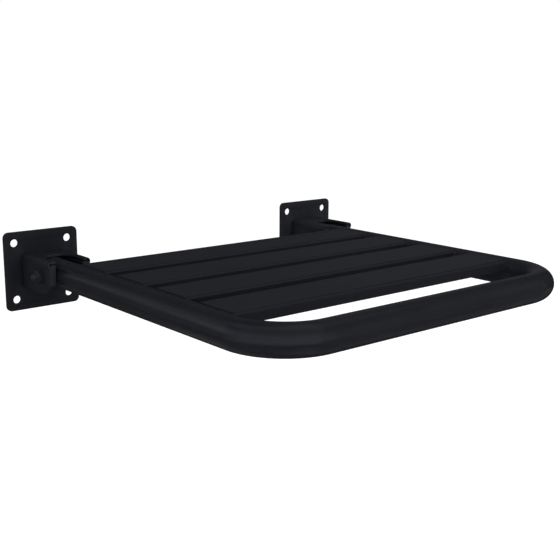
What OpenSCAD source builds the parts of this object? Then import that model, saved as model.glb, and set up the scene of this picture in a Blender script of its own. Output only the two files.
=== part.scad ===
// Fold-down wall seat: a bent tube frame with four folded slats, hinged on two folded wall brackets.
// X runs along the wall, +Y points into the wall and +Z is up. The wall is the plane Y = 0.
// The origin is the centre of the eight wall holes, on the wall.

/* [Seat frame] */
// Distance between the centres of the two side tubes, and of the two brackets
span = 445; // [400:5:520]
// Distance from the wall to the front of the seat
seat_depth = 485; // [460:5:540]
// Outside diameter of the frame tube
tube_d = 35; // [32:0.5:38]
// Wall thickness of the frame tube
tube_wall = 2; // [1.2:0.1:3]
// Centreline radius of the two front bends
bend_r = 64; // [52:1:75]
// Distance from the wall to the tube's rear ends, which bear up under the brackets when the seat is down
heel_gap = 22.5; // [20:0.5:28]

/* [Slats] */
// Clear gap between neighbouring slats
slat_gap = 20; // [12:1:30]
// Clear gap between the rear slat and the front of the brackets
rear_gap = 10.5; // [10:0.5:20]
// Height of a slat's turned-down edges, over all
slat_h = 13; // [10:0.5:16]
// Sheet thickness of the slats
slat_t = 1.5; // [1:0.1:2.5]
// Outside radius of the bend along a slat's edges
slat_bend_r = 4; // [3:0.25:5]
// How far the slats lie below the top of the tube
slat_drop = 1; // [0.5:0.1:2]
// How far a slat's square-cut ends stop short of the centre lines of the side tubes
slat_end = 9.5; // [8:0.5:12]
// Clear gap between the front slat and the front tube, which a hand goes through
hand_gap = 54; // [45:1:65]

/* [Wall plates] */
// Side of each square wall plate
plate_size = 100; // [90:1:120]
// Thickness of each wall plate
plate_t = 3; // [2:0.5:6]
// Corner radius of the plates
plate_corner_r = 7; // [3:0.5:10]
// Distance between neighbouring screw holes of one plate
hole_spacing = 72; // [66:1:76]
// Diameter of the screw holes
hole_d = 10; // [6:0.5:12]

/* [Brackets] */
// Outside width of a bracket
bracket_w = 56; // [54:0.5:62]
// Distance from the wall to the front of a bracket
bracket_depth = 77.5; // [75:0.5:80]
// Sheet thickness of a bracket
bracket_t = 3; // [2:0.5:4]
// Outside radius of a bracket's bends
bracket_bend_r = 5; // [4.5:0.5:6]
// Height of a bracket's cheeks below the pivot
cheek_below = 22; // [20:0.5:26]
// Height of the front flanges below the pivot
flange_below = 8.5; // [7:0.5:11]
// Radius of the curve that takes the cheeks' lower edges up to the flanges
cheek_curve_r = 30; // [24:1:40]
// Width of the groove along the rear edges, which are bevelled for welding to the plate
weld_groove = 2.2; // [1:0.1:2.4]
// Distance from the front of a bracket back to the pivot
pivot_setback = 21; // [20:0.5:22]
// Height of the pivot above the centre of the wall plates
pivot_rise = 2; // [0:0.5:4]
// Clearance on each side of the tube in the bracket's slot
slot_clearance = 1.2; // [0.8:0.1:2]
// How far the slot's round end lies behind the pivot
slot_back = 21.5; // [21:0.5:23]
// Gap between the front flanges and the web, which are folded apart there
relief_gap = 1.6; // [1.2:0.1:2.4]
// Radius of the relief hole at the outer end of that gap
relief_r = 1.8; // [1.4:0.1:2.4]

/* [Pivot] */
// Diameter of the pivot bolt
bolt_d = 8; // [6:0.5:10]
// Width across the flats of the bolt head and the dome nut
hex_af = 13; // [12:0.5:15]
// Height of the bolt head
head_h = 5.3; // [4:0.1:7]
// Height of the dome nut's hexagon
nut_hex_h = 5.5; // [4.5:0.1:7]
// Height of the dome nut over all
nut_h = 11.5; // [10.5:0.5:14]
// Room left in the nut beyond the bolt's end
nut_room = 1; // [0.5:0.1:2]
// Diameter of the dome
dome_d = 9.6; // [9.2:0.1:12]
// Diameter of the flat washers
washer_d = 16; // [15:0.5:18]
// Thickness of the flat washers
washer_t = 1.6; // [1:0.1:2.5]
// Radial play of the washers on the bolt
washer_play = 0.25; // [0.1:0.05:0.5]
// Outside diameter of the bearing bushes' barrels
bush_d = 12; // [11:0.5:13]
// Diameter of the bearing bushes' flanges
bush_flange_d = 20; // [16:0.5:22]
// Thickness of the bearing bushes' flanges
bush_flange_t = 1.5; // [1:0.1:2]
// Outside diameter of the sleeve that is welded through the tube
sleeve_d = 16; // [14:0.5:18]

/* [Heel plug] */
// Thickness of the plug's rim
plug_rim_t = 3; // [2:0.5:4]
// Length of the plug inside the tube
plug_l = 12; // [8:1:14]
// Height of the plug's gripping ribs
plug_rib_h = 0.8; // [0.4:0.1:1.2]

/* [Fits] */
// Radial clearance of a turning fit
run_fit = 0.05; // [0.02:0.01:0.1]
// Gap at a welded or resting seat
seat_gap = 0.3; // [0.2:0.05:0.4]
// End play of the sleeve between the bush flanges, on each side
end_play = 0.2; // [0.1:0.05:0.4]

/* [Hidden] */
$fn = 96;
LEFT = -1;
RIGHT = 1;
black = [0.13, 0.13, 0.145];
nylon = [0.3, 0.3, 0.31];
// How far a cutting tool reaches past what it cuts
past = 1;

tube_r = tube_d / 2;
tube_bore_r = tube_r - tube_wall;
front_axis_y = -(seat_depth - tube_r);
pivot_y = -(bracket_depth - pivot_setback);
bend_y = front_axis_y + bend_r;
bend_x = span / 2 - bend_r;
heel_y = -heel_gap;

// The slats share the room between the hand gap and the brackets evenly
slat_count = 4;
front_slat_y = front_axis_y + tube_r + hand_gap;
slat_room = -bracket_depth - rear_gap - front_slat_y;
slat_w = (slat_room - (slat_count - 1) * slat_gap) / slat_count;
slat_pitch = slat_w + slat_gap;
slat_top = pivot_rise + tube_r - slat_drop;
slat_inner_r = slat_bend_r - slat_t;

// The bracket's web rests on the tube, one seat gap above it
web_under = pivot_rise + tube_r + seat_gap;
web_top = web_under + bracket_t;
bracket_bottom = pivot_rise - cheek_below;
bracket_inner_r = bracket_bend_r - bracket_t;
cheek_out = bracket_w / 2;
cheek_in = cheek_out - bracket_t;
slot_r = tube_r + slot_clearance;
slot_centre_y = pivot_y + slot_back - slot_r;
flange_top = web_under - relief_gap;
flange_bottom = pivot_rise - flange_below;
cheek_curve_rise = flange_bottom - bracket_bottom;
cheek_curve_run = sqrt(cheek_curve_rise * (2 * cheek_curve_r - cheek_curve_rise));

bolt_r = bolt_d / 2;
stack_out = cheek_out + washer_t;
nut_bore = nut_h - dome_d / 2;
chamfer_h = 1.2;
bush_hole_r = bush_d / 2 + run_fit;

// Places its child on one side of the seat, drawn for the right side with +X outwards
module on_side(side) {
    translate([side * span / 2, 0, 0])
        mirror([side < 0 ? 1 : 0, 0, 0])
            children();
}

// Turns its child, drawn along +Z, to lie along +X through the pivot
module along_pivot(x) {
    translate([x, pivot_y, pivot_rise])
        rotate([0, 90, 0])
            children();
}

module rounded_square(size, r) {
    inner = size - 2 * r;
    square([size, inner], center = true);
    square([inner, size], center = true);
    for (x = [-1, 1], y = [-1, 1])
        translate([x * inner / 2, y * inner / 2])
            circle(r);
}

// A folded section: half width w, open below from y = low to the top at y = high, with rounded top corners
module arch(w, low, high, r) {
    translate([-w, low])
        square([2 * w, high - r - low]);
    translate([-w + r, low])
        square([2 * (w - r), high - low]);
    for (x = [-1, 1])
        translate([x * (w - r), high - r])
            circle(r);
}

module wall_plate(side) {
    color(black)
        on_side(side)
            rotate([90, 0, 0])
                linear_extrude(plate_t)
                    difference() {
                        rounded_square(plate_size, plate_corner_r);
                        for (x = [-1, 1], z = [-1, 1])
                            translate([x * hole_spacing / 2, z * hole_spacing / 2])
                                circle(hole_d / 2);
                    }
}

// The web and the tops of the cheeks, folded about lines that run out from the wall
module bracket_top() {
    translate([0, -plate_t, 0])
        rotate([90, 0, 0])
            linear_extrude(bracket_depth - plate_t)
                difference() {
                    arch(cheek_out, flange_top, web_top, bracket_bend_r);
                    arch(cheek_in, flange_top - past, web_under, bracket_inner_r);
                }
}

// The cheeks and their front flanges, folded about upright lines
module bracket_sides() {
    translate([0, 0, bracket_bottom])
        linear_extrude(flange_top - bracket_bottom)
            mirror([0, 1])
                difference() {
                    arch(cheek_out, plate_t, bracket_depth, bracket_bend_r);
                    arch(cheek_in, plate_t - past, bracket_depth - bracket_t, bracket_inner_r);
                }
}

// The slot that the tube swings through: open at the front, with a round end behind the pivot
module bracket_slot() {
    translate([0, 0, bracket_bottom - past]) {
        height = web_top - bracket_bottom + 2 * past;
        translate([0, slot_centre_y, 0])
            cylinder(r = slot_r, h = height);
        translate([-slot_r, -bracket_depth - past, 0])
            cube([2 * slot_r, bracket_depth + past + slot_centre_y, height]);
    }
}

// What the curve takes off the lower front of both cheeks
module cheek_curve() {
    difference() {
        translate([-cheek_out - past, -bracket_depth - past, bracket_bottom - past])
            cube([2 * (cheek_out + past), cheek_curve_run + past, cheek_curve_rise + past]);
        translate([-cheek_out - 2 * past, -bracket_depth + cheek_curve_run, bracket_bottom + cheek_curve_r])
            rotate([0, 90, 0])
                cylinder(r = cheek_curve_r, h = 2 * (cheek_out + 2 * past));
    }
}

// The flanges end square where the curve meets the front
module below_flanges() {
    inside = cheek_out - bracket_bend_r;
    translate([-inside, -bracket_depth - past, bracket_bottom - past])
        cube([2 * inside, bracket_bend_r + past, flange_bottom - bracket_bottom + past]);
}

// The round relief in each top front corner, where the two folds meet
module corner_reliefs() {
    for (x = [-1, 1])
        translate([x * cheek_in, -bracket_depth - past, flange_top + relief_gap / 2])
            rotate([-90, 0, 0])
                cylinder(r = relief_r, h = bracket_t + past);
}

// What the bevel takes off a rear edge: X out from the sheet's outer face, Y away from the plate
module groove_section() {
    polygon([[-weld_groove - past, -past], [past, -past], [past, weld_groove + past]]);
}

// The groove runs up one cheek, round the folds and over the web
module weld_grooves() {
    straight = cheek_out - bracket_bend_r;
    fold = web_top - bracket_bend_r;
    translate([straight, -plate_t, web_top])
        rotate([0, -90, 0])
            linear_extrude(2 * straight)
                mirror([0, 1])
                    groove_section();
    for (x = [0, 1])
        mirror([x, 0, 0]) {
            translate([cheek_out, -plate_t, bracket_bottom - past])
                linear_extrude(fold - bracket_bottom + past)
                    mirror([0, 1])
                        groove_section();
            translate([straight, -plate_t, fold])
                rotate([90, 0, 0])
                    rotate_extrude(angle = 90)
                        translate([bracket_bend_r, 0])
                            groove_section();
        }
}

module bracket(side) {
    color(black)
        on_side(side)
            difference() {
                union() {
                    bracket_top();
                    bracket_sides();
                }
                bracket_slot();
                cheek_curve();
                below_flanges();
                corner_reliefs();
                weld_grooves();
                along_pivot(-cheek_out - past)
                    cylinder(r = bush_hole_r, h = 2 * (cheek_out + past));
            }
}

// A hexagon with chamfered outer corners, standing on z = 0
module hex_body(height) {
    corner_r = hex_af / 2 / cos(30);
    intersection() {
        cylinder(r = corner_r, h = height, $fn = 6);
        union() {
            cylinder(r = corner_r + past, h = height - chamfer_h);
            translate([0, 0, height - chamfer_h])
                cylinder(r1 = corner_r + chamfer_h / 2, r2 = hex_af / 2 - chamfer_h / 2, h = chamfer_h);
        }
    }
}

// The bolt's head is on the inner side and its thread ends inside the dome nut
module pivot_bolt(side) {
    color(black)
        on_side(side) {
            along_pivot(-stack_out)
                cylinder(r = bolt_r, h = 2 * stack_out + nut_bore - nut_room);
            along_pivot(-stack_out)
                mirror([0, 0, 1])
                    hex_body(head_h);
        }
}

module dome_nut(side) {
    color(black)
        on_side(side)
            along_pivot(stack_out)
                difference() {
                    union() {
                        hex_body(nut_hex_h);
                        cylinder(r = dome_d / 2, h = nut_h - dome_d / 2);
                        translate([0, 0, nut_h - dome_d / 2])
                            sphere(r = dome_d / 2);
                    }
                    translate([0, 0, -past])
                        cylinder(r = bolt_r + run_fit, h = nut_bore + past);
                }
}

module flat_washer(side, x) {
    color(black)
        on_side(side)
            along_pivot(x)
                difference() {
                    cylinder(r = washer_d / 2, h = washer_t);
                    translate([0, 0, -past])
                        cylinder(r = bolt_r + washer_play, h = washer_t + 2 * past);
                }
}

// A flanged bearing bush in one cheek: facing is +1 in the outer cheek and -1 in the inner one
module bush(side, facing) {
    color(nylon)
        on_side(side)
            translate([0, pivot_y, pivot_rise])
                rotate([0, 90 * facing, 0])
                    difference() {
                        union() {
                            translate([0, 0, cheek_in - bush_flange_t])
                                cylinder(r = bush_flange_d / 2, h = bush_flange_t);
                            translate([0, 0, cheek_in])
                                cylinder(r = bush_d / 2, h = bracket_t);
                        }
                        translate([0, 0, cheek_in - bush_flange_t - past])
                            cylinder(r = bolt_r + run_fit, h = bush_flange_t + bracket_t + 2 * past);
                    }
}

module pivot_sleeve(side) {
    half = cheek_in - bush_flange_t - end_play;
    color(black)
        on_side(side)
            along_pivot(-half)
                difference() {
                    cylinder(r = sleeve_d / 2, h = 2 * half);
                    translate([0, 0, -past])
                        cylinder(r = bolt_r + run_fit, h = 2 * (half + past));
                }
}

// The frame tube's shape at one radius: two side tubes, two bends and the front tube
module tube_run(r, heel) {
    for (side = [LEFT, RIGHT]) {
        translate([side * span / 2, bend_y, pivot_rise])
            rotate([-90, 0, 0])
                cylinder(r = r, h = heel - bend_y);
        translate([side * bend_x, bend_y, pivot_rise])
            rotate([0, 0, side < 0 ? 180 : 270])
                rotate_extrude(angle = 90)
                    translate([bend_r, 0])
                        circle(r);
    }
    translate([-bend_x, front_axis_y, pivot_rise])
        rotate([0, 90, 0])
            cylinder(r = r, h = 2 * bend_x);
}

module frame_tube() {
    color(black)
        difference() {
            tube_run(tube_r, heel_y);
            tube_run(tube_bore_r, heel_y + past);
            for (side = [LEFT, RIGHT])
                on_side(side)
                    along_pivot(-tube_r - past)
                        cylinder(r = sleeve_d / 2 + run_fit, h = 2 * (tube_r + past));
        }
}

// The plug closes the tube's rear end; its ribs grip the bore
module heel_plug(side) {
    core_r = tube_bore_r - seat_gap - plug_rib_h;
    rib_pitch = plug_l / 3;
    color(nylon)
        on_side(side)
            translate([0, heel_y, pivot_rise])
                rotate([90, 0, 0]) {
                    translate([0, 0, -plug_rim_t])
                        cylinder(r = tube_r - seat_gap, h = plug_rim_t);
                    cylinder(r = core_r, h = plug_l);
                    for (i = [0:2])
                        translate([0, 0, i * rib_pitch + rib_pitch / 3])
                            cylinder(r = core_r + plug_rib_h, h = rib_pitch / 3);
                }
}

// A folded slat, its front face at y: its ends are cut square and then coped to the side tubes
module slat(y) {
    half = span / 2 - slat_end;
    color(black)
        difference() {
            translate([half, y, slat_top])
                rotate([0, -90, 0])
                    linear_extrude(2 * half)
                        slat_section();
            for (side = [LEFT, RIGHT])
                translate([side * span / 2, y - past, pivot_rise])
                    rotate([-90, 0, 0])
                        cylinder(r = tube_r + seat_gap, h = slat_w + 2 * past);
        }
}

// Across the slat: X up from its top face, Y from its front face towards the wall
module slat_section() {
    difference() {
        translate([0, slat_w / 2])
            rotate([0, 0, -90])
                arch(slat_w / 2, -slat_h, 0, slat_bend_r);
        translate([0, slat_w / 2])
            rotate([0, 0, -90])
                arch(slat_w / 2 - slat_t, -slat_h - past, -slat_t, slat_inner_r);
    }
}

wall_plate(LEFT);  // left_wall_plate
wall_plate(RIGHT);  // right_wall_plate
bracket(LEFT);  // left_bracket
bracket(RIGHT);  // right_bracket
pivot_bolt(LEFT);  // left_pivot_bolt
pivot_bolt(RIGHT);  // right_pivot_bolt
dome_nut(LEFT);  // left_dome_nut
dome_nut(RIGHT);  // right_dome_nut
flat_washer(LEFT, cheek_out);  // left_nut_washer
flat_washer(RIGHT, cheek_out);  // right_nut_washer
flat_washer(LEFT, -stack_out);  // left_head_washer
flat_washer(RIGHT, -stack_out);  // right_head_washer
bush(LEFT, 1);  // left_outer_bush
bush(RIGHT, 1);  // right_outer_bush
bush(LEFT, -1);  // left_inner_bush
bush(RIGHT, -1);  // right_inner_bush
pivot_sleeve(LEFT);  // left_pivot_sleeve
pivot_sleeve(RIGHT);  // right_pivot_sleeve
heel_plug(LEFT);  // left_heel_plug
heel_plug(RIGHT);  // right_heel_plug
frame_tube();
slat(front_slat_y + 3 * slat_pitch);  // rear_slat
slat(front_slat_y + 2 * slat_pitch);  // second_slat
slat(front_slat_y + slat_pitch);  // third_slat
slat(front_slat_y);  // front_slat
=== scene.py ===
"""The looks of a fold-down wall seat: satin black coat on bent tube, folded slats and hinge brackets.

Metres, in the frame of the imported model: X along the wall, +Y into the wall, +Z up.
"""

import math

import bmesh
import bpy
from mathutils import Matrix, Vector


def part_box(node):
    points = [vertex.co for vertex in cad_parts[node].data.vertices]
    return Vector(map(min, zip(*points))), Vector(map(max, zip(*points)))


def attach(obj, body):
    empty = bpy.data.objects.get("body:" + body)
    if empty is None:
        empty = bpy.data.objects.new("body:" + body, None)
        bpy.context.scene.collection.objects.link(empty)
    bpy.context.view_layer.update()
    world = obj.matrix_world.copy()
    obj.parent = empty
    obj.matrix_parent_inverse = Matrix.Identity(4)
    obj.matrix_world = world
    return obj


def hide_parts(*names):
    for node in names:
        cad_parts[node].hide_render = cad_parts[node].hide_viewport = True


bl_info = {
    "name": "Fold-down Wall Seat",
    "version": (1, 0, 0),
    "blender": (4, 5, 0),
    "location": "3D View > Sidebar > Wall Seat",
    "description": "Builds the tube, slats, brackets, pivots, welds and stage of a fold-down wall seat",
    "category": "Object",
}

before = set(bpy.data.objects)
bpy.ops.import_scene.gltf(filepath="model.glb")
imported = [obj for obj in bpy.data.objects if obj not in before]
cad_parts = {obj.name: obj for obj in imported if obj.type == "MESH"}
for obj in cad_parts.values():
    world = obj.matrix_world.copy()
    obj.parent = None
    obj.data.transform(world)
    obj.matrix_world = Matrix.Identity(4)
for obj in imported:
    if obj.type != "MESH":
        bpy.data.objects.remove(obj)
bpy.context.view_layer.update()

MM = 0.001
X, Y, Z = range(3)
UP = Vector((0, 0, 1))
SIDES = ("left", "right")
SLATS = ("rear_slat", "second_slat", "third_slat", "front_slat")
WALL_BODY = "wall_brackets"
SEAT_BODY = "seat"


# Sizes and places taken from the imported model


def low_end(node, axis):
    """Where a CAD node begins along one axis."""
    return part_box(node)[0][axis]


def high_end(node, axis):
    """Where a CAD node ends along one axis."""
    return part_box(node)[1][axis]


def size_of(node, axis):
    """A CAD node's extent along one axis."""
    return high_end(node, axis) - low_end(node, axis)


def centre_of(node):
    """The middle of a CAD node's box."""
    low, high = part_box(node)
    return (Vector(low) + Vector(high)) / 2


TUBE_R = size_of("frame_tube", Z) / 2
TUBE_FRONT_Y = low_end("frame_tube", Y) + TUBE_R
TUBE_REAR_Y = high_end("frame_tube", Y)
SLEEVE_R = size_of("left_pivot_sleeve", Z) / 2
PIVOTS = {side: centre_of(f"{side}_pivot_sleeve") for side in SIDES}
SLATS_FRONT_Y = low_end("front_slat", Y)
PLATE_FRONT_Y = low_end("left_wall_plate", Y)

# How far the weld groove on a bracket's web reaches from the wall plate, and so how far the painted shade
# in it reaches
WELD_GROOVE = 2.2 * MM
GROOVE_FRONT_Y = PLATE_FRONT_Y - WELD_GROOVE


# Settings that a user would change


class WALLSEAT_PG_tube(bpy.types.PropertyGroup):
    """Sizes of the frame tube."""

    bend_radius: bpy.props.FloatProperty(
        name="Bend radius", description="Centreline radius of the two front bends",
        default=64 * MM, min=40 * MM, unit="LENGTH")
    wall: bpy.props.FloatProperty(
        name="Wall", description="Wall thickness of the tube",
        default=2 * MM, min=MM, unit="LENGTH")
    around: bpy.props.IntProperty(
        name="Faces round", description="Faces round the tube",
        default=72, min=24)
    bend_steps: bpy.props.IntProperty(
        name="Faces in a bend", description="Faces along each bend",
        default=28, min=8)


class WALLSEAT_PG_sheet(bpy.types.PropertyGroup):
    """The broken edges of the slats, plates and brackets."""

    edge: bpy.props.FloatProperty(
        name="Broken edge", description="Width of the rounding that deburring leaves on sheet edges",
        default=0.45 * MM, min=0.1 * MM, unit="LENGTH")


class WALLSEAT_PG_weld(bpy.types.PropertyGroup):
    """Sizes of the weld beads."""

    pitch: bpy.props.FloatProperty(
        name="Ripple pitch", description="Distance from one ripple of a bead to the next",
        default=1.1 * MM, min=0.4 * MM, unit="LENGTH")
    width: bpy.props.FloatProperty(
        name="Bead width", description="Width of a bead across its run",
        default=3.4 * MM, min=MM, unit="LENGTH")
    height: bpy.props.FloatProperty(
        name="Bead height", description="How far a bead stands out of its corner",
        default=1.5 * MM, min=0.5 * MM, unit="LENGTH")
    unevenness: bpy.props.FloatProperty(
        name="Unevenness", description="How much the ripples differ in size",
        default=0.16, min=0, subtype="FACTOR")
    seed: bpy.props.IntProperty(
        name="Seed", description="Seed of the unevenness",
        default=7)


class WALLSEAT_PG_finish(bpy.types.PropertyGroup):
    """Colours and texture of the finishes, and the colours of the coat that paint light and shade."""

    coat: bpy.props.FloatVectorProperty(
        name="Coat", description="Colour of the black coat on the slats and sleeves",
        default=(0.0166, 0.0173, 0.0212), size=3, subtype="COLOR")
    tube_coat: bpy.props.FloatVectorProperty(
        name="Tube coat", description="Colour of the glossier coat on the bent tube",
        default=(0.0122, 0.0127, 0.0156), size=3, subtype="COLOR")
    plate: bpy.props.FloatVectorProperty(
        name="Plate coat", description="Colour of the black coat on the wall plates and brackets",
        default=(0.0158, 0.0165, 0.0202), size=3, subtype="COLOR")
    # Painted shade: a darker colour of the coat that stands in for the shade in the gaps between the slats
    # and on the left bracket's web
    painted_shade: bpy.props.FloatVectorProperty(
        name="Painted shade colour", description="Colour of the coat between the slats and on the left bracket's web",
        default=(0.0110, 0.0114, 0.0141), size=3, subtype="COLOR")
    # Painted highlight: a lighter colour of the coat that stands in for the light on the steep half of the
    # slats' folds
    fold: bpy.props.FloatVectorProperty(
        name="Painted highlight on the folds", description="Colour of the coat where it thins over the slats' folds",
        default=(0.0174, 0.0182, 0.0219), size=3, subtype="COLOR")
    # Painted light: a lighter colour of the coat that stands in for the light falling on the brackets'
    # forward-facing flanges
    flange: bpy.props.FloatVectorProperty(
        name="Painted light on the flanges", description="Colour of the coat on the brackets' front flanges",
        default=(0.023, 0.024, 0.0288), size=3, subtype="COLOR")
    worn: bpy.props.FloatVectorProperty(
        name="Thin coat", description="Colour of the coat where it thins over an edge or a weld",
        default=(0.020, 0.0208, 0.0245), size=3, subtype="COLOR")
    plated: bpy.props.FloatVectorProperty(
        name="Plating", description="Colour of the black plated bolts, nuts and washers",
        default=(0.0155, 0.0162, 0.0195), size=3, subtype="COLOR")
    nylon: bpy.props.FloatVectorProperty(
        name="Nylon", description="Colour of the bearing bushes",
        default=(0.045, 0.045, 0.047), size=3, subtype="COLOR")
    plug: bpy.props.FloatVectorProperty(
        name="Plug plastic", description="Colour of the tube's end plugs",
        default=(0.018, 0.018, 0.019), size=3, subtype="COLOR")
    grain: bpy.props.FloatProperty(
        name="Powder grain", description="Size of the coat's fine bumps",
        default=0.8 * MM, min=0.2 * MM, unit="LENGTH")
    streak: bpy.props.FloatProperty(
        name="Brush streak", description="Spacing of the brushed streaks under the coat",
        default=1.1 * MM, min=0.2 * MM, unit="LENGTH")


class WALLSEAT_PG_stage(bpy.types.PropertyGroup):
    """Floor, sky, lamps and the cards that the coat mirrors."""

    seat_height: bpy.props.FloatProperty(
        name="Seat height", description="Height of the seat above the floor",
        default=0.48, unit="LENGTH")
    sky: bpy.props.FloatProperty(
        name="Sky", description="Strength of the soft light from the horizon",
        default=0.72, min=0)
    zenith: bpy.props.FloatProperty(
        name="Zenith", description="Share of that light that comes from straight above",
        default=0.8, min=0, subtype="FACTOR")
    key: bpy.props.FloatProperty(
        name="Key lamp", description="Power of the lamp beside the camera",
        default=3.5, min=0, unit="POWER")
    low: bpy.props.FloatProperty(
        name="Low lamp", description="Power of the lamp low in front",
        default=2.0, min=0, unit="POWER")
    top: bpy.props.FloatProperty(
        name="Top lamp", description="Power of the lamp above",
        default=16.5, min=0, unit="POWER")
    side: bpy.props.FloatProperty(
        name="Side lamp", description="Power of the lamp on the right",
        default=9.0, min=0, unit="POWER")
    band: bpy.props.FloatProperty(
        name="Bright band", description="Brightness of the bands that the tube mirrors",
        default=1.9, min=0)
    flag_distance: bpy.props.FloatProperty(
        name="Flag distance", description="How far behind the wall the dark flags stand",
        default=0.9, unit="LENGTH")


SETTINGS = {
    "wallseat_tube": WALLSEAT_PG_tube,
    "wallseat_sheet": WALLSEAT_PG_sheet,
    "wallseat_weld": WALLSEAT_PG_weld,
    "wallseat_finish": WALLSEAT_PG_finish,
    "wallseat_stage": WALLSEAT_PG_stage,
}


# Node trees

# Where the values of a noise lie: nearly all of them, or most of them
NOISE_ALL = (0.1, 0.9)
NOISE_MOST = (0.3, 0.7)


class NodeMaker:
    """Short ways to add nodes to a tree and to join them."""

    def __init__(self, tree):
        self.tree = tree

    def node(self, kind, inputs=None, **settings):
        """A new node, with its settings made and its inputs fed."""
        made = self.tree.nodes.new(kind)
        for key, value in settings.items():
            setattr(made, key, value)
        for key, value in (inputs or {}).items():
            self.feed(made, key, value)
        return made

    def feed(self, node, key, value):
        """Sets an input to a value, or joins it to another node's output."""
        if isinstance(value, bpy.types.NodeSocket):
            self.tree.links.new(value, node.inputs[key])
        else:
            node.inputs[key].default_value = value

    def reckoned(self, operation, a, b, **settings):
        """The result of a sum on two numbers."""
        return self.node("ShaderNodeMath", {0: a, 1: b}, operation=operation, **settings).outputs[0]

    def product(self, a, b):
        """Two numbers multiplied."""
        return self.reckoned("MULTIPLY", a, b)

    def span(self, value, reach, low, high, **settings):
        """The value, with the ends of its reach moved to low and high."""
        inputs = {"Value": value, "From Min": reach[0], "From Max": reach[1], "To Min": low, "To Max": high}
        return self.node("ShaderNodeMapRange", inputs, **settings).outputs["Result"]

    def axis(self, place, name):
        """One coordinate of a place."""
        return self.node("ShaderNodeSeparateXYZ", {0: place}).outputs[name]


# Materials


class MaterialMaker(NodeMaker):
    """A new material, with the patterns that the finishes are made of."""

    def __init__(self, name):
        self.material = bpy.data.materials.new(name)
        self.material.use_nodes = True
        super().__init__(self.material.node_tree)
        self.shader = self.tree.nodes["Principled BSDF"]

    def place(self, attribute=None):
        """Where a point is: in the object, or in the space that an attribute holds."""
        if attribute:
            return self.node("ShaderNodeAttribute", attribute_name=attribute).outputs["Vector"]
        return self.node("ShaderNodeTexCoord").outputs["Object"]

    def noise(self, place, scale, detail=2.0, roughness=0.5):
        """A cloudy value between 0 and 1, finer with a larger scale."""
        inputs = {"Vector": place, "Scale": scale, "Detail": detail, "Roughness": roughness}
        return self.node("ShaderNodeTexNoise", inputs).outputs["Fac"]

    def stretched(self, place, squeeze):
        """The place, squeezed along its axes, so that a pattern is stretched along them."""
        return self.node("ShaderNodeMapping", {"Vector": place, "Scale": squeeze}).outputs["Vector"]

    def varied(self, value, share, reach=NOISE_ALL):
        """A factor round 1, smaller or larger by up to a share as the value changes."""
        return self.span(value, reach, 1 - share, 1 + share)

    def shaded(self, colour, factor):
        """The colour, multiplied by a factor that varies over the surface."""
        return self.node("ShaderNodeVectorMath", {0: colour, "Scale": factor}, operation="SCALE").outputs[0]

    def bump(self, height, depth, under=None):
        """The surface's direction with bumps of a depth, on top of other bumps if there are some."""
        made = self.node("ShaderNodeBump", {"Height": height, "Distance": depth, "Strength": 1.0})
        if under is not None:
            self.feed(made, "Normal", under)
        return made.outputs["Normal"]

    def glow(self, colour, strength):
        """Makes the surface shine by itself."""
        self.feed(self.shader, "Emission Color", colour)
        self.feed(self.shader, "Emission Strength", strength)

    def finish(self, colour, roughness, normal, specular):
        """Joins the patterns to the shader and hands over the material."""
        self.feed(self.shader, "Base Color", colour)
        self.feed(self.shader, "Roughness", roughness)
        self.feed(self.shader, "Normal", normal)
        self.feed(self.shader, "Specular IOR Level", specular)
        return self.material


# How a pattern is squeezed: it is stretched along an axis with a small number
ALONG_X = (0.02, 1.0, 1.0)
ALONG_Y = (1.0, 0.03, 1.0)
ALONG_Z = (1.0, 1.0, 0.03)
ACROSS_X = (1.0, 0.06, 0.06)
FLOWING_Y = (1.0, 0.3, 1.0)
UNSTRETCHED = (1.0, 1.0, 1.0)

# The tube's attribute that holds each point's place as if the tube were straight, with X along it
STRAIGHTENED = "straightened"

COAT_SHEEN = (0.83, 0.85, 1.0, 1.0)
STREAK_TONE = 0.18
LONG_STREAK_TONE = 0.28
LONG_STREAK_SQUEEZE = 0.35
LONG_STREAK_DENSITY = 0.4
ROUGHNESS_SHARE = 0.15
GRAIN_DEPTH = 0.025 * MM
STREAK_DEPTH = 0.02 * MM
# How dark the painted shade in the weld groove is, and how soft its edge is
GROOVE_PAINTED_SHADE = 0.1
GROOVE_BLUR = 0.2 * MM


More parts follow.
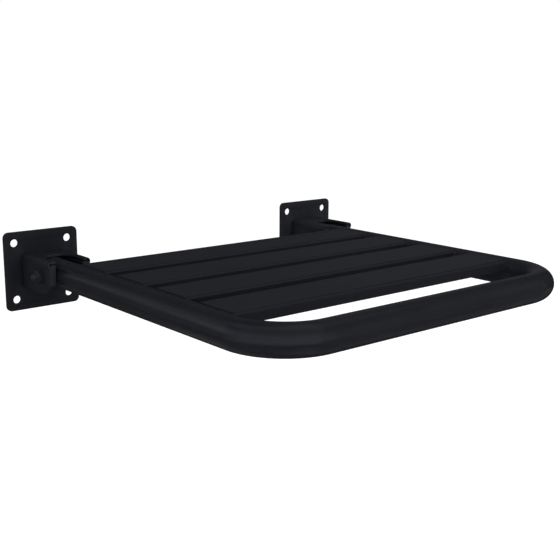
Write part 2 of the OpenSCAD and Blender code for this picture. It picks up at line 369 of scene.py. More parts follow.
def coat_material(name, colour, along, attribute=None, brushed=0.5, rough=0.5, specular=0.035,
                  clouds=0.12, groove=False, painted_side_light=1.0):
    """Satin black coat: fine powder grain, cloudy thickness, and streaks of brushed metal under it.

    along is how the pattern is squeezed, brushed how far its streaks show, and clouds how far its tone
    drifts. With groove, painted shade makes the coat near black in the weld groove beside the wall plates.
    With a side factor over 1, painted light makes it lighter on the seat's right side and painted shade
    makes it darker on its left side.
    """
    finish = bpy.context.scene.wallseat_finish
    m = MaterialMaker(name)
    place = m.place(attribute)
    far_along = [LONG_STREAK_SQUEEZE * share for share in along]
    cloud = m.noise(place, scale=22.0, detail=3.0, roughness=0.55)
    streak = m.noise(m.stretched(place, along), scale=1.0 / finish.streak, detail=3.0, roughness=0.6)
    long_streak = m.noise(m.stretched(place, far_along), scale=LONG_STREAK_DENSITY / finish.streak)
    grain = m.noise(place, scale=1.0 / finish.grain, detail=1.0, roughness=0.4)
    tone = m.product(m.varied(cloud, clouds), m.varied(long_streak, LONG_STREAK_TONE * brushed))
    tone = m.product(tone, m.varied(streak, STREAK_TONE * brushed))
    # Painted shade: the coat is darkened to near black in the weld groove beside the wall plates
    if groove:
        groove_edge = (GROOVE_FRONT_Y - GROOVE_BLUR, GROOVE_FRONT_Y + GROOVE_BLUR)
        tone = m.product(tone, m.span(m.axis(place, "Y"), groove_edge, 1.0, GROOVE_PAINTED_SHADE))
    # Painted light on the seat's right side and painted shade on its left side
    if painted_side_light != 1.0:
        seat_width = (PIVOTS["left"].x, PIVOTS["right"].x)
        tone = m.product(tone, m.span(m.axis(place, "X"), seat_width, 1 / painted_side_light, painted_side_light))
    wear = m.span(cloud, NOISE_ALL, (1 - ROUGHNESS_SHARE) * rough, (1 + ROUGHNESS_SHARE) * rough)
    normal = m.bump(grain, GRAIN_DEPTH)
    normal = m.bump(streak, STREAK_DEPTH * brushed, normal)
    m.feed(m.shader, "Specular Tint", COAT_SHEEN)
    return m.finish(m.shaded(colour, tone), wear, normal, specular)


def plated_material(name, colour):
    """Black plated fasteners: a little glossier, with faint turned rings round X."""
    m = MaterialMaker(name)
    place = m.place()
    cloud = m.noise(place, scale=160.0)
    rings = m.noise(m.stretched(place, ACROSS_X), scale=2600.0, roughness=0.6)
    tone = m.product(m.varied(cloud, 0.15, NOISE_MOST), m.varied(rings, 0.1, NOISE_MOST))
    wear = m.span(cloud, NOISE_MOST, 0.34, 0.46)
    return m.finish(m.shaded(colour, tone), wear, m.bump(rings, depth=0.01 * MM), specular=0.12)


def plastic_material(name, colour, grain_size):
    """Moulded plastic: matt, with a fine spark-eroded grain and faint flow marks."""
    m = MaterialMaker(name)
    place = m.place()
    flow = m.noise(m.stretched(place, FLOWING_Y), scale=120.0, detail=3.0)
    grain = m.noise(place, scale=1.0 / grain_size, roughness=0.6)
    tone = m.varied(flow, 0.12, NOISE_MOST)
    wear = m.span(grain, NOISE_MOST, 0.5, 0.66)
    return m.finish(m.shaded(colour, tone), wear, m.bump(grain, depth=0.03 * MM), specular=0.35)


def weld_material(name, colour):
    """Coated weld metal: the coat lies unevenly over the ripples."""
    m = MaterialMaker(name)
    place = m.place()
    blotch = m.noise(place, scale=420.0, detail=3.0, roughness=0.6)
    fine = m.noise(place, scale=2400.0)
    tone = m.product(m.span(blotch, NOISE_MOST, 0.6, 1.15), m.varied(fine, 0.1, NOISE_MOST))
    wear = m.span(blotch, NOISE_MOST, 0.4, 0.58)
    return m.finish(m.shaded(colour, tone), wear, m.bump(fine, depth=0.03 * MM), specular=0.03)


def material(name):
    """The finish of that name, made when it is first asked for."""
    if name in bpy.data.materials:
        return bpy.data.materials[name]
    finish = bpy.context.scene.wallseat_finish
    makers = {
        "tube_coat": lambda: coat_material(
            name, finish.tube_coat, ALONG_X, STRAIGHTENED, brushed=1.0, rough=0.23, specular=0.12),
        "slat_coat": lambda: coat_material(
            name, finish.coat, ALONG_X, brushed=0.15, rough=0.55, clouds=0.04),
        # Painted highlight on the steep half of the slats' folds
        "fold_coat": lambda: coat_material(
            name, finish.fold, ALONG_X, brushed=0.15, specular=0.04, clouds=0.04),
        # Painted shade for the gaps between the slats and the left bracket's web
        "dull_coat": lambda: coat_material(
            name, finish.painted_shade, ALONG_X, brushed=0.3, rough=0.6, specular=0.02),
        # The wall plates get painted light on the seat's right side and painted shade on its left side
        "plate_coat": lambda: coat_material(
            name, finish.plate, ALONG_Z, brushed=0.2, rough=0.55, painted_side_light=1.1),
        # The brackets get painted shade in the weld groove beside the wall plates
        "bracket_coat": lambda: coat_material(
            name, finish.plate, ALONG_Y, brushed=0.4, rough=0.55, groove=True),
        # Painted light on the brackets' forward-facing flanges
        "flange_coat": lambda: coat_material(
            name, finish.flange, ALONG_Z, brushed=0.3, specular=0.06),
        "sleeve_coat": lambda: coat_material(name, finish.coat, ALONG_X),
        "edge_coat": lambda: coat_material(name, finish.worn, UNSTRETCHED, brushed=0.6, specular=0.06),
        "black_plating": lambda: plated_material(name, finish.plated),
        "weld_metal": lambda: weld_material(name, finish.worn),
        "bearing_nylon": lambda: plastic_material(name, finish.nylon, grain_size=0.35 * MM),
        "plug_plastic": lambda: plastic_material(name, finish.plug, grain_size=0.5 * MM),
    }
    return makers[name]()


# Meshes

# Corners sharper than these are shaded sharp, get a broken edge, or are kept in a clean mesh
SHARP_CORNER = math.radians(32)
BROKEN_CORNER = math.radians(35)
KEPT_CORNER = math.radians(0.4)
DOUBLES_APART = 0.001 * MM
EDGE_SEGMENTS = 2

# A slat's coped end lies this near to the tube's skin, and is sunk this far into it
COPE_GAP = 0.35 * MM
COPE_BITE = 0.05 * MM


def add_object(name, data):
    """A new object of the scene, at the origin."""
    made = bpy.data.objects.new(name, data)
    bpy.context.scene.collection.objects.link(made)
    return made


def settle(piece, name):
    """Turns a piece with modifiers into a plain mesh of that name, with smooth faces and sharp edges."""
    depsgraph = bpy.context.evaluated_depsgraph_get()
    depsgraph.update()
    mesh = bpy.data.meshes.new_from_object(piece.evaluated_get(depsgraph), depsgraph=depsgraph)
    bpy.data.objects.remove(piece)
    mesh.name = name
    mesh.shade_smooth()
    mesh.set_sharp_from_angle(angle=SHARP_CORNER)
    return add_object(name, mesh)


def merged_copy(node, name):
    """A CAD node's shape as a clean mesh: doubles merged and flat faces whole."""
    source = bmesh.new()
    source.from_mesh(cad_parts[node].data)
    bmesh.ops.remove_doubles(source, verts=source.verts, dist=DOUBLES_APART)
    bmesh.ops.dissolve_limit(source, angle_limit=KEPT_CORNER, verts=source.verts, edges=source.edges)
    points = [v.co.copy() for v in source.verts]
    faces = [[v.index for v in f.verts] for f in source.faces]
    source.free()
    mesh = bpy.data.meshes.new(name)
    mesh.from_pydata(points, [], faces)
    return add_object(name, mesh)


def seat_on_tubes(mesh):
    """Moves a slat's coped ends on to the side tubes, so that no light shines through the seams."""
    for vertex in mesh.vertices:
        pivot = PIVOTS["left" if vertex.co.x < 0 else "right"]
        across = Vector((vertex.co.x - pivot.x, 0, vertex.co.z - pivot.z))
        if across.length < TUBE_R + COPE_GAP:
            vertex.co += across.normalized() * (TUBE_R - COPE_BITE - across.length)


def edged_piece(node, body, finish_name):
    """A CAD node with its sharp edges rounded, which stands for that node."""
    rough = merged_copy(node, f"{node}_rough")
    if node in SLATS:
        seat_on_tubes(rough.data)
    coats = (finish_name, "edge_coat")
    for name in coats:
        rough.data.materials.append(material(name))
    bevel = rough.modifiers.new("Broken edges", "BEVEL")
    bevel.width = bpy.context.scene.wallseat_sheet.edge
    bevel.segments = EDGE_SEGMENTS
    bevel.limit_method = "ANGLE"
    bevel.angle_limit = BROKEN_CORNER
    bevel.material = coats.index("edge_coat")
    piece = settle(rough, f"{node}_finished")
    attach(piece, body)
    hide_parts(node)
    return piece


def paint_light_and_shade(piece, name, chosen):
    """Gives the faces that chosen picks a second colour of the coat, which paints light or shade on them,
    unless they are a broken edge or already have one.
    """
    mesh = piece.data
    mesh.materials.append(material(name))
    for face in mesh.polygons:
        if face.material_index == 0 and chosen(face):
            face.material_index = len(mesh.materials) - 1


def finish_node(node, name):
    """Gives a CAD node that stays as it is its material."""
    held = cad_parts[node]
    held.data.materials.clear()
    held.data.materials.append(material(name))


# Geometry Nodes trees

# The attribute of a weld line's points that holds the way its bead faces
BEAD_WAY = "faces"


class TreeMaker(NodeMaker):
    """A new Geometry Nodes tree with named inputs."""

    def __init__(self, name):
        super().__init__(bpy.data.node_groups.new(name, "GeometryNodeTree"))
        for way in ("INPUT", "OUTPUT"):
            self.tree.interface.new_socket("Geometry", in_out=way, socket_type="NodeSocketGeometry")
        self.entry = self.node("NodeGroupInput")
        self.exit = self.node("NodeGroupOutput")
        self.identifiers = {}

    def input(self, name, kind):
        """A new named input of the tree."""
        made = self.tree.interface.new_socket(name, in_out="INPUT", socket_type=kind)
        self.identifiers[name] = made.identifier
        return self.entry.outputs[name]

    def line(self):
        """The wire that the tree is given, as a curve."""
        return self.node("GeometryNodeMeshToCurve", {"Mesh": self.entry.outputs["Geometry"]}).outputs[0]

    def captured(self, geometry, kind, name, value):
        """The geometry with a value kept at each of its points, and that value."""
        made = self.node("GeometryNodeCaptureAttribute", {"Geometry": geometry})
        made.capture_items.new(kind, name)
        self.feed(made, name, value)
        return made.outputs["Geometry"], made.outputs[name]

    def end(self, geometry, finish):
        """Ends the tree with real geometry in one finish."""
        real = self.node("GeometryNodeRealizeInstances", {"Geometry": geometry})
        coated = self.node("GeometryNodeSetMaterial", {"Geometry": real.outputs[0], "Material": finish})
        self.feed(self.exit, "Geometry", coated.outputs[0])

    def modify(self, piece, values):
        """Adds the tree to a piece as a modifier, with its inputs set."""
        modifier = piece.modifiers.new(self.tree.name, "NODES")
        modifier.node_group = self.tree
        for name, value in values.items():
            modifier[self.identifiers[name]] = value


def tube_tree():
    """Sweeps a round tube along a cornered line, with filleted corners.

    It keeps each point's place in the straightened tube: along it, then across it.
    """
    t = TreeMaker("Bent tube")
    bend_radius = t.input("Bend radius", "NodeSocketFloat")
    bend_steps = t.input("Bend steps", "NodeSocketInt")
    tube_radius = t.input("Tube radius", "NodeSocketFloat")
    around = t.input("Faces round", "NodeSocketInt")
    finish = t.input("Finish", "NodeSocketMaterial")
    path = t.node("GeometryNodeFilletCurve",
                  {"Curve": t.line(), "Radius": bend_radius, "Count": bend_steps}, mode="POLY")
    length = t.node("GeometryNodeSplineParameter").outputs["Length"]
    route, along = t.captured(path.outputs[0], "FLOAT", "Along", length)
    circle = t.node("GeometryNodeCurvePrimitiveCircle", {"Resolution": around, "Radius": tube_radius})
    spot = t.node("GeometryNodeInputPosition").outputs[0]
    ring, across = t.captured(circle.outputs[0], "VECTOR", "Across", spot)
    swept = t.node("GeometryNodeCurveToMesh", {"Curve": route, "Profile Curve": ring})
    straight = t.node("ShaderNodeCombineXYZ",
                      {"X": along, "Y": t.axis(across, "X"), "Z": t.axis(across, "Y")})
    kept = t.node("GeometryNodeStoreNamedAttribute",
                  {"Geometry": swept.outputs[0], "Name": STRAIGHTENED, "Value": straight.outputs[0]},
                  data_type="FLOAT_VECTOR", domain="POINT")
    t.end(kept.outputs[0], finish)
    return t


def weld_tree():
    """Lays overlapping ripples along lines; each line's points carry the way its bead faces."""
    t = TreeMaker("Weld bead")
    pitch = t.input("Ripple pitch", "NodeSocketFloat")
    size = t.input("Ripple size", "NodeSocketVector")
    uneven = t.input("Unevenness", "NodeSocketFloat")
    seed = t.input("Seed", "NodeSocketInt")
    finish = t.input("Finish", "NodeSocketMaterial")
    spaced = t.node("GeometryNodeResampleCurve", {"Curve": t.line(), "Length": pitch}, mode="LENGTH")
    ball = t.node("GeometryNodeMeshIcoSphere", {"Radius": 0.5, "Subdivisions": 2})
    ripple = t.node("GeometryNodeTransform", {"Geometry": ball.outputs[0], "Scale": size})
    way = t.node("GeometryNodeInputNamedAttribute", {"Name": BEAD_WAY}, data_type="FLOAT_VECTOR")
    run = t.node("GeometryNodeInputTangent")
    turned = t.node("FunctionNodeAxesToRotation",
                    {"Primary Axis": way.outputs[0], "Secondary Axis": run.outputs[0]},
                    primary_axis="Z", secondary_axis="X")
    less = t.reckoned("SUBTRACT", 1.0, uneven)
    more = t.reckoned("ADD", 1.0, uneven)
    growth = t.node("FunctionNodeRandomValue", {"Min": less, "Max": more, "Seed": seed}, data_type="FLOAT")
    placed = t.node("GeometryNodeInstanceOnPoints",
                    {"Points": spaced.outputs[0], "Instance": ripple.outputs[0],
                     "Rotation": turned.outputs[0], "Scale": growth.outputs["Value"]})
    t.end(placed.outputs[0], finish)
    return t


def line_object(name, lines, ways=()):
    """A wire mesh of open lines; ways holds the facing vectors of each line's points."""
    points, edges = [], []
    for line in lines:
        first = len(points)
        points += line
        edges += [(i, i + 1) for i in range(first, len(points) - 1)]
    mesh = bpy.data.meshes.new(name)
    mesh.from_pydata(points, edges, [])
    if ways:
        held = mesh.attributes.new(BEAD_WAY, "FLOAT_VECTOR", "POINT")
        in_order = [way for line_ways in ways for way in line_ways]
        for item, way in zip(held.data, in_order):
            item.vector = way
    return add_object(name, mesh)


# Weld beads

# A ripple's length in pitches, so that each ripple overlaps the next
RIPPLE_LENGTH = 2.2


def evenly(start, end, steps):
    """Values from start to end in equal steps."""
    return [start + (end - start) * i / steps for i in range(steps + 1)]


# Each of these functions gives beads: a line of points, and the way that the bead faces at each point


def slat_corner_welds():
    """Short beads down both corners of each slat's ends, where its edges meet the side tubes."""
    low_angle, high_angle, steps = math.radians(14), math.radians(50), 7
    for slat in SLATS:
        for pivot in PIVOTS.values():
            inwards = Vector((-math.copysign(1, pivot.x), 0, 0))
            for y, outwards in ((low_end(slat, Y), -1), (high_end(slat, Y), 1)):
                centre = Vector((pivot.x, y, pivot.z))
                line = [centre + inwards * (TUBE_R * math.cos(angle)) + UP * (TUBE_R * math.sin(angle))
                        for angle in evenly(low_angle, high_angle, steps)]
                sideways = Vector((0, outwards, 0))
                yield line, [((point - centre).normalized() + sideways).normalized() for point in line]


def slat_underside_welds():
    """Two longer beads under each slat's ends, where its top sheet meets the tube."""
    half_bead, drop, steps = 7 * MM, 2.8 * MM, 12
    width_shares = (0.3, 0.7)
    for slat in SLATS:
        z = high_end(slat, Z) - drop
        for pivot in PIVOTS.values():
            inwards = -math.copysign(1, pivot.x)
            x = pivot.x + inwards * math.sqrt(TUBE_R ** 2 - (z - pivot.z) ** 2)
            for share in width_shares:
                middle = low_end(slat, Y) + share * size_of(slat, Y)
                line = [Vector((x, y, z)) for y in evenly(middle - half_bead, middle + half_bead, steps)]
                yield line, [Vector((inwards, 0, -1)).normalized()] * len(line)


def sleeve_ring_welds():
    """A bead all round each end of the sleeves, where they leave the tube."""
    steps, lean = 40, 0.4
    for pivot in PIVOTS.values():
        for outwards in (-1, 1):
            line = []
            for turn in evenly(0, 2 * math.pi, steps):
                rise = SLEEVE_R * math.sin(turn)
                reach = math.sqrt(TUBE_R ** 2 - rise ** 2)
                line.append(pivot + Vector((outwards * reach, SLEEVE_R * math.cos(turn), rise)))
            sideways = Vector((outwards * lean, 0, 0))
            yield line, [((point - pivot).normalized() * (1 - lean) + sideways).normalized()
                         for point in line]


def bracket_stitch_welds():
    """Stitches between the brackets and wall plates: in the groove over the web, and inside the cheeks."""
    web_stitches = ((-22 * MM, -10.6 * MM), (-4.5 * MM, 0.6 * MM), (5.5 * MM, 22 * MM))
    half_stitch, cheek_sheet, sunk, steps = 10 * MM, 3 * MM, 1.2 * MM, 16
    for side in SIDES:
        low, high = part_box(f"{side}_bracket")
        middle_x, middle_z = (low[X] + high[X]) / 2, (low[Z] + high[Z]) / 2
        for start, end in web_stitches:
            line = [Vector((x, PLATE_FRONT_Y - sunk, high[Z] - sunk))
                    for x in evenly(middle_x + start, middle_x + end, steps)]
            yield line, [Vector((0, -1, 1)).normalized()] * len(line)
        for outer, inwards in ((low[X], 1), (high[X], -1)):
            line = [Vector((outer + inwards * cheek_sheet, PLATE_FRONT_Y, z))
                    for z in evenly(middle_z - half_stitch, middle_z + half_stitch, steps)]
            yield line, [Vector((inwards, -1, 0)).normalized()] * len(line)


def lay_welds(name, body, beads):
    """Turns beads into one piece on one body.

    A ripple is a squeezed ball that is sunk half way into its corner, so it is twice as high as the bead.
    """
    weld = bpy.context.scene.wallseat_weld
    lines, ways = zip(*beads)
    wire = line_object(f"{name}_lines", lines, ways)
    weld_tree().modify(wire, {
        "Ripple pitch": weld.pitch,
        "Ripple size": (weld.pitch * RIPPLE_LENGTH, weld.width, weld.height * 2),
        "Unevenness": weld.unevenness,
        "Seed": weld.seed,
        "Finish": material("weld_metal"),
    })
    piece = settle(wire, name)
    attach(piece, body)


# Faces that get painted light or shade: a lighter or darker colour of the coat

# How far a slat's faces lean forwards or backwards where its folds begin, half way round and at their end
FOLD_BEGINS = 0.08
FOLD_MIDDLE = 0.5
FOLD_ENDS = 0.9

# How far a bracket's faces look forwards or up to be one of its flanges or its web
FLANGE_FORWARDS = 0.85
WEB_UP = 0.9


def on_steep_fold(face):
    """Whether a slat's face lies on the steep half of a fold, which gets a painted highlight."""
    return FOLD_MIDDLE < abs(face.normal.y) < FOLD_ENDS


def between_slats(face):
    """Whether a slat's face lies where a fold begins, or is upright and behind the front slat's front:
    these faces get painted shade.
    """
    lean = abs(face.normal.y)
    return FOLD_BEGINS < lean < FOLD_MIDDLE or (lean > FOLD_ENDS and face.center.y > SLATS_FRONT_Y + MM)


def on_flange(face):
    """Whether a bracket's face looks forwards, so that it gets painted light."""
    return face.normal.y < -FLANGE_FORWARDS


def on_left_web(face):
    """Whether a bracket's face lies on top of the left bracket's web, which gets painted shade."""
    return face.normal.z > WEB_UP and face.center.x < 0


# Operators


class WALLSEAT_OT_tube(bpy.types.Operator):
    """Bends the frame tube and coats it"""

    bl_idname = "wallseat.tube"
    bl_label = "Frame tube"

    def execute(self, context):
        tube = context.scene.wallseat_tube
        left, right = PIVOTS["left"], PIVOTS["right"]
        corners = [Vector((left.x, TUBE_REAR_Y, left.z)), Vector((left.x, TUBE_FRONT_Y, left.z)),
                   Vector((right.x, TUBE_FRONT_Y, right.z)), Vector((right.x, TUBE_REAR_Y, right.z))]
        wire = line_object("frame_tube_line", [corners])
        tube_tree().modify(wire, {
            "Bend radius": tube.bend_radius,
            "Bend steps": tube.bend_steps,
            "Tube radius": TUBE_R,
            "Faces round": tube.around,
            "Finish": material("tube_coat"),
        })
        wall = wire.modifiers.new("Wall", "SOLIDIFY")
        wall.thickness = tube.wall
        wall.offset = -1
        piece = settle(wire, "bent_frame_tube")
        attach(piece, SEAT_BODY)
        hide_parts("frame_tube")
        return {"FINISHED"}


class WALLSEAT_OT_slats(bpy.types.Operator):
    """Rounds the edges of the four folded slats and coats them, with painted highlights on their folds and
    painted shade between them
    """

    bl_idname = "wallseat.slats"
    bl_label = "Slats"

    def execute(self, context):
        for slat in SLATS:
            piece = edged_piece(slat, SEAT_BODY, "slat_coat")
            # Painted highlight on the steep half of each fold
            paint_light_and_shade(piece, "fold_coat", on_steep_fold)
            # Painted shade on the faces in the gaps between the slats and where the folds begin
            paint_light_and_shade(piece, "dull_coat", between_slats)
        return {"FINISHED"}


class WALLSEAT_OT_brackets(bpy.types.Operator):
    """Rounds the edges of the wall plates and folded brackets and coats them, with painted light on the
    flanges and the plates' right side, and painted shade on the left web, the plates' left side and the
    weld grooves
    """

    bl_idname = "wallseat.brackets"
    bl_label = "Wall plates and brackets"

    def execute(self, context):
        for side in SIDES:
            edged_piece(f"{side}_wall_plate", WALL_BODY, "plate_coat")
            piece = edged_piece(f"{side}_bracket", WALL_BODY, "bracket_coat")
            # Painted light on the forward-facing flanges
            paint_light_and_shade(piece, "flange_coat", on_flange)
            # Painted shade on the left bracket's web
            paint_light_and_shade(piece, "dull_coat", on_left_web)
        return {"FINISHED"}


class WALLSEAT_OT_pivots(bpy.types.Operator):
    """Finishes the bolts, nuts, washers, bushes and sleeves of the two pivots"""

    bl_idname = "wallseat.pivots"
    bl_label = "Pivots"

    def execute(self, context):
        for side in SIDES:
            for piece in ("pivot_bolt", "dome_nut", "nut_washer", "head_washer"):
                finish_node(f"{side}_{piece}", "black_plating")
            for piece in ("outer_bush", "inner_bush"):
                finish_node(f"{side}_{piece}", "bearing_nylon")
            finish_node(f"{side}_pivot_sleeve", "sleeve_coat")
        return {"FINISHED"}


class WALLSEAT_OT_plugs(bpy.types.Operator):
    """Finishes the plugs in the tube's rear ends"""

    bl_idname = "wallseat.plugs"
    bl_label = "Heel plugs"

    def execute(self, context):
        for side in SIDES:
            finish_node(f"{side}_heel_plug", "plug_plastic")
        return {"FINISHED"}


class WALLSEAT_OT_welds(bpy.types.Operator):
    """Lays the weld beads of the seat and of the brackets"""

    bl_idname = "wallseat.welds"
    bl_label = "Welds"

    def execute(self, context):
        lay_welds("seat_welds", SEAT_BODY,
                  [*slat_corner_welds(), *slat_underside_welds(), *sleeve_ring_welds()])
        lay_welds("bracket_welds", WALL_BODY, bracket_stitch_welds())
        return {"FINISHED"}


# Camera and light

# The photograph's viewing angle: where the camera stands, its two directions, and its lens in pixels
CAMERA_PLACE = Vector((-0.7450, -1.0984, 0.2463))
CAMERA_FORWARD = Vector((0.6268, 0.7487, -0.2159))
CAMERA_UP = Vector((0.1340, 0.1694, 0.9764))
FOCAL_PIXELS = 942.8
FRAME_PIXELS = 560
SENSOR_WIDTH_MM = 36.0

LAMPS_FACE = Vector((0, -0.25, 0))
WHITE = (1, 1, 1, 1)
SKY_FALL = (0.1, 0.9)
FLOOR_HALF = 4.0
FLOOR_COLOUR = (0.75, 0.75, 0.75)
FLOOR_GLOW = 0.56


def aim(forward, up):
    """The rotation of a camera or lamp that looks along forward."""
    forward = forward.normalized()
    across = forward.cross(up).normalized()
    return Matrix((across, across.cross(forward), -forward)).transposed()


def add_camera():
    """The camera at the photograph's viewing angle."""
    camera = bpy.data.cameras.new("camera")
    camera.sensor_width = SENSOR_WIDTH_MM
    camera.lens = FOCAL_PIXELS / FRAME_PIXELS * SENSOR_WIDTH_MM
    held = add_object("camera", camera)
    held.matrix_world = Matrix.Translation(CAMERA_PLACE) @ aim(CAMERA_FORWARD, CAMERA_UP).to_4x4()
    bpy.context.scene.camera = held


def add_lamp(name, place, width, height, power):
    """A soft rectangular lamp that faces the seat's middle, and that nothing mirrors."""
    lamp = bpy.data.lights.new(name, "AREA")
    lamp.shape = "RECTANGLE"
    lamp.size = width
    lamp.size_y = height
    lamp.energy = power
    held = add_object(name, lamp)
    held.visible_glossy = False
    place = Vector(place)
    held.matrix_world = Matrix.Translation(place) @ aim(LAMPS_FACE - place, UP).to_4x4()


def seen_directly(m):
    """1 for what the camera sees, also in a reflection or through glass, and 0 for light on the object."""
    path = m.node("ShaderNodeLightPath").outputs
    either = m.reckoned("ADD", path["Is Camera Ray"], path["Is Glossy Ray"])
    return m.reckoned("ADD", either, path["Is Transmission Ray"], use_clamp=True)


def add_sky(strength, zenith):
    """A white horizon that darkens gently towards the zenith, and lights the object at its own strength."""
    world = bpy.data.worlds.new("studio")
    world.use_nodes = True
    m = NodeMaker(world.node_tree)
    level = m.span(seen_directly(m), (0.0, 1.0), strength, 1.0)
    height = m.axis(m.node("ShaderNodeTexCoord").outputs["Generated"], "Z")
    fall = m.span(height, SKY_FALL, 1.0, zenith, interpolation_type="SMOOTHSTEP")
    background = world.node_tree.nodes["Background"]
    m.feed(background, "Color", WHITE)
    m.feed(background, "Strength", m.product(level, fall))
    bpy.context.scene.world = world


def add_floor(height):
    """A plain pale floor, as white as the backdrop where the camera sees it, with the shadow on it."""
    near, far = -FLOOR_HALF, FLOOR_HALF
    mesh = bpy.data.meshes.new("floor")
    corners = [(near, near, height), (far, near, height), (far, far, height), (near, far, height)]
    mesh.from_pydata(corners, [], [(0, 1, 2, 3)])
    floor = add_object("floor", mesh)
    m = MaterialMaker("pale_floor")
    cloud = m.noise(m.place(), scale=3.0, detail=3.0)
    tone = m.varied(cloud, 0.02, NOISE_MOST)
    m.glow(WHITE, m.product(seen_directly(m), FLOOR_GLOW))
    uneven = m.bump(cloud, depth=0.1 * MM)
    m.finish(m.shaded(FLOOR_COLOUR, tone), roughness=0.9, normal=uneven, specular=0.1)
    mesh.materials.append(m.material)


# Cards that only reflections meet, as photographers hang up round a dark gloss

# Places of cards are in metres, with the seat's middle and the wall's face at 0
CARD_COLOUR = (0.01, 0.01, 0.01, 1)
CARD_LIGHT = (0.92, 0.94, 1.0, 1)
CARDS_LEFT = -1.5
CARDS_RIGHT = 3.0
CARD_GAP = 10 * MM
ARC_STEPS = 24
BLACK = 0.0

# The corner where the lines of the left and front tube would meet, inside which the left bend lies
LEFT_CORNER = (PIVOTS["left"].x, TUBE_FRONT_Y)


def add_card(name, points, faces, glow):
    """A flag or bright card that is seen in the seat's gloss and nowhere else."""
    mesh = bpy.data.meshes.new(name)
    mesh.from_pydata(points, [], faces)
    m = MaterialMaker(name)
    m.glow(CARD_LIGHT, glow)
    felt = m.bump(m.noise(m.place(), scale=2.0), depth=MM)
    mesh.materials.append(m.finish(CARD_COLOUR, roughness=1.0, normal=felt, specular=0.0))
    card = add_object(name, mesh)
    card.visible_camera = False
    card.visible_diffuse = False
    card.visible_transmission = False
    card.visible_shadow = False


def add_upright_card(name, start, end, bottom, top, glow):
    """An upright card between two points of the floor plan."""
    points = [(*start, bottom), (*end, bottom), (*end, top), (*start, top)]
    add_card(name, points, [(0, 1, 2, 3)], glow)


def add_level_card(name, across, along, z, glow):
    """A level card over a stretch of X and a stretch of Y."""
    (left, right), (front, rear) = across, along
    points = [(left, front, z), (right, front, z), (right, rear, z), (left, rear, z)]
    add_card(name, points, [(0, 1, 2, 3)], glow)


def add_arc_card(name, rims, start, end, glow):
    """A card bent round the left corner, between two angles from +X.

    rims are its radii and heights, from one edge to the other.
    """
    points, faces = [], []
    for degrees in evenly(start, end, ARC_STEPS):
        angle = math.radians(degrees)
        points += [(LEFT_CORNER[X] + r * math.cos(angle), LEFT_CORNER[Y] + r * math.sin(angle), z)
                   for r, z in rims]
    width = len(rims)
    for i in range(ARC_STEPS):
        for j in range(width - 1):
            a = i * width + j
            faces.append((a, a + 1, a + width + 1, a + width))
    add_card(name, points, faces, glow)


def add_rear_cards(distance, floor_z):
    """Flags behind the wall, which the slats mirror: black in the middle, paler beside it and above it."""
    far_left, dim_left, left, right = -2.5, -1.0, -0.5, 0.95
    low_top, knee, top = 0.2, 0.45, 4.5
    for name, start, end, bottom, height, glow in (
        ("wall_flag", left, right, floor_z, knee, BLACK),
        ("high_wall_flag", left, right, knee, top, 0.04),
        ("dim_flag", right, CARDS_RIGHT, floor_z, top, 0.07),
        ("left_flag", far_left, dim_left, floor_z, low_top, 0.36),
        ("dim_left_flag", dim_left, left, floor_z, low_top, 0.12),
    ):
        add_upright_card(name, (start, distance), (end, distance), bottom, height, glow)


def add_right_cards(distance, floor_z):
    """A black and a grey flag on the right, and a grey one over them."""
    front, turn, ceiling_left, ceiling = -4.5, -1.4, 1.5, 3.0
    right = CARDS_RIGHT
    add_upright_card("right_flag", (right, turn), (right, distance), floor_z, ceiling, BLACK)
    add_upright_card("grey_flag", (right, front), (right, turn), floor_z, ceiling, 0.2)
    add_level_card("ceiling_flag", (ceiling_left, right), (front, distance), ceiling, 0.2)


def add_floor_cards(distance, z):
    """Flags on the floor, which the tube mirrors: dark under the seat, paler on the left and in front."""
    far_front, front, near_left, near, rear = -4.0, -1.6, -0.55, -0.45, 0.3
    rear_left, left, middle, front_right, right = -0.3, -0.15, 0.0, 0.45, 0.9
    for name, across, along, glow in (
        ("left_floor_flag", (CARDS_LEFT, left), (near_left, rear), 0.27),
        ("near_floor_flag", (left, right), (near, rear), 0.05),
        ("inner_floor_flag", (left, middle), (near_left, near), 0.27),
        ("far_floor_flag", (right, CARDS_RIGHT), (near, rear), BLACK),
        ("rear_left_flag", (CARDS_LEFT, rear_left), (rear, distance), 0.12),
        ("rear_floor_flag", (rear_left, CARDS_RIGHT), (rear, distance), 0.03),
        ("front_left_flag", (CARDS_LEFT, middle), (front, near_left), 0.75),
        ("front_floor_flag", (middle, front_right), (front, near), 0.27),
        ("front_right_flag", (front_right, CARDS_RIGHT), (front, near), 0.2),
        ("far_front_flag", (middle, CARDS_RIGHT), (far_front, front), 0.3),
    ):
        add_level_card(name, across, along, z, glow)


def add_bend_cards(z, band):
    """Grey arcs on the floor under the left bend, and bright bands on its left and in front of it."""
    near_r, inner_r, band_r, outer_r, far_r = 0.25, 0.7, 1.2, 1.5, 4.0
    for name, rims, start, end, glow in (
        ("grey_arc", ((near_r, z), (inner_r, z)), 150, 255, 0.5),
        ("side_arc", ((inner_r, z), (outer_r, z)), 150, 205, 0.35),
        ("bend_flag", ((inner_r, z), (1.45, z)), 205, 285, BLACK),
        ("dim_band", ((band_r, 0.18), (band_r, 0.9)), 100, 109, 0.1 * band),
        ("rising_band", ((band_r, 0.18), (band_r, 0.9)), 109, 121, 0.36 * band),
        ("fading_band", ((band_r, 0.18), (band_r, 0.7)), 121, 125, 0.38 * band),
        ("dim_sky", ((far_r, 2.0), (far_r, 4.5)), 100, 150, 0.2 * band),
        ("left_band", ((band_r, 0.16), (band_r, 0.7)), 125, 138, 0.88 * band),
        ("middle_band", ((band_r, 0.13), (band_r, 0.75)), 138, 165, 0.8 * band),
        ("bright_band", ((outer_r, z), (far_r, z), (far_r, 3.1)), 165, 285, 0.97 * band),
    ):
        add_arc_card(name, rims, start, end, glow)


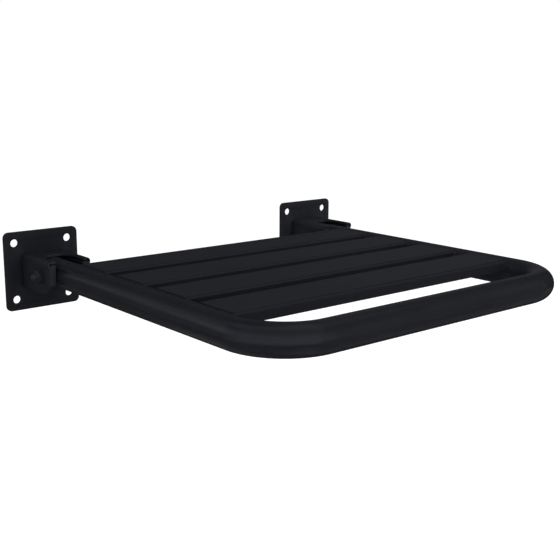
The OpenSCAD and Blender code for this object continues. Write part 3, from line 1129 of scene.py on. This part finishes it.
class WALLSEAT_OT_stage(bpy.types.Operator):
    """Sets the camera, sky, floor, cards and lamps"""

    bl_idname = "wallseat.stage"
    bl_label = "Stage"

    def execute(self, context):
        stage = context.scene.wallseat_stage
        floor_z = -stage.seat_height
        context.scene.view_settings.view_transform = "Standard"
        add_camera()
        add_sky(stage.sky, stage.zenith)
        add_floor(floor_z)
        add_rear_cards(stage.flag_distance, floor_z)
        add_right_cards(stage.flag_distance, floor_z)
        add_floor_cards(stage.flag_distance, floor_z + CARD_GAP)
        add_bend_cards(floor_z + 2 * CARD_GAP, stage.band)
        add_lamp("key_lamp", (0.1, -1.7, 1.3), width=1.6, height=0.5, power=stage.key)
        add_lamp("low_lamp", (0.1, -1.7, -0.3), width=1.6, height=0.3, power=stage.low)
        add_lamp("top_lamp", (0.7, -0.7, 1.7), width=1.8, height=1.8, power=stage.top)
        add_lamp("side_lamp", (1.9, -1.2, 0.5), width=1.2, height=1.2, power=stage.side)
        return {"FINISHED"}


# The add-on

OPERATORS = (
    WALLSEAT_OT_tube,
    WALLSEAT_OT_slats,
    WALLSEAT_OT_brackets,
    WALLSEAT_OT_pivots,
    WALLSEAT_OT_plugs,
    WALLSEAT_OT_welds,
    WALLSEAT_OT_stage,
)


class WALLSEAT_PT_panel(bpy.types.Panel):
    """Lists the seat's settings and its pieces"""

    bl_idname = "WALLSEAT_PT_panel"
    bl_label = "Wall Seat"
    bl_space_type = "VIEW_3D"
    bl_region_type = "UI"
    bl_category = "Wall Seat"

    def draw(self, context):
        for name, group in SETTINGS.items():
            box = self.layout.box()
            for setting in group.__annotations__:
                box.prop(getattr(context.scene, name), setting)
        for operator in OPERATORS:
            self.layout.operator(operator.bl_idname)


CLASSES = (*SETTINGS.values(), *OPERATORS, WALLSEAT_PT_panel)


def register():
    """Registers the classes and adds the settings to the scene."""
    for kind in CLASSES:
        bpy.utils.register_class(kind)
    for name, group in SETTINGS.items():
        setattr(bpy.types.Scene, name, bpy.props.PointerProperty(type=group))


def unregister():
    """Takes the settings and the classes away again."""
    for name in SETTINGS:
        delattr(bpy.types.Scene, name)
    for kind in reversed(CLASSES):
        bpy.utils.unregister_class(kind)


def main():
    """Builds the whole seat."""
    register()
    bpy.ops.wallseat.tube()
    bpy.ops.wallseat.slats()
    bpy.ops.wallseat.brackets()
    bpy.ops.wallseat.pivots()
    bpy.ops.wallseat.plugs()
    bpy.ops.wallseat.welds()
    bpy.ops.wallseat.stage()


if __name__ == "__main__":
    main()
